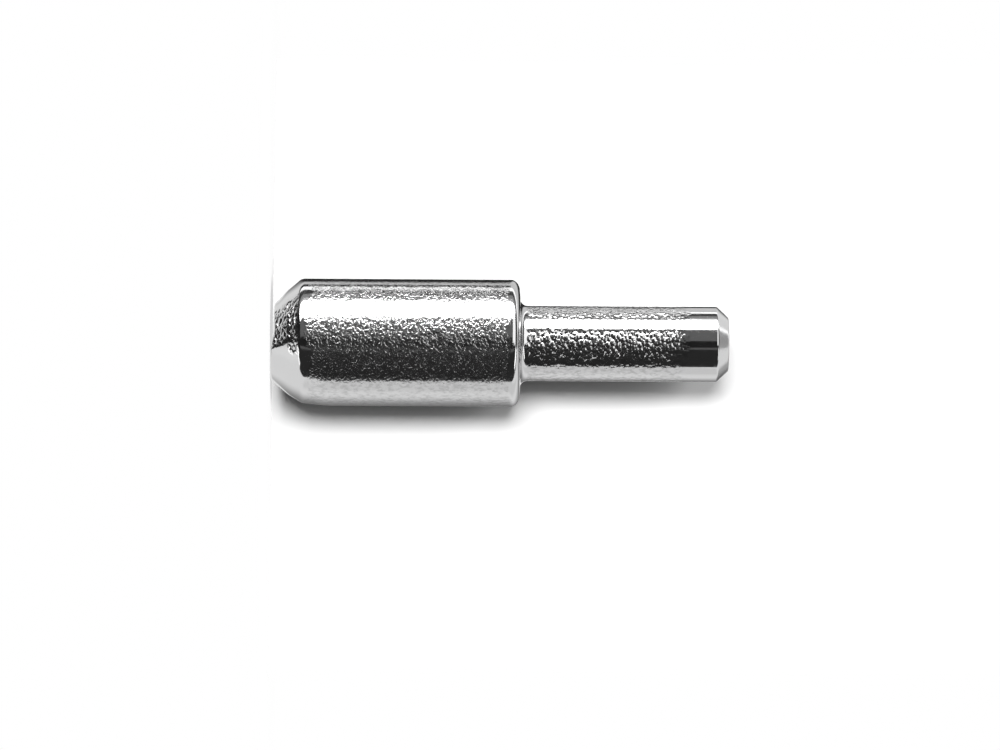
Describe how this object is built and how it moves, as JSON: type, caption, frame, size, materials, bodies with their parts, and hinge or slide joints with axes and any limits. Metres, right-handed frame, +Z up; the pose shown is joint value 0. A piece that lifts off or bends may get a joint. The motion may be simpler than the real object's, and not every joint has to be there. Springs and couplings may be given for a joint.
{
  "type": "shelf support pin",
  "caption": "Steel shelf support pin: a thick barrel with a coned nose, and a thinner shank beyond a square shoulder.",
  "frame": {"origin": "centre of the flat end of the nose, which is the foot that the pin stands on", "axes": "+Z up the pin's axis, from the nose through the barrel and the shoulder to the tip of the shank"},
  "size_m": [0.005, 0.005, 0.018],
  "materials": {
    "zinc_plate": "bright zinc plate over turned steel, finely pitted like orange peel, smoother at both ends"
  },
  "bodies": {
    "root": {"support_pin": "zinc_plate"}
  },
  "joints": []
}
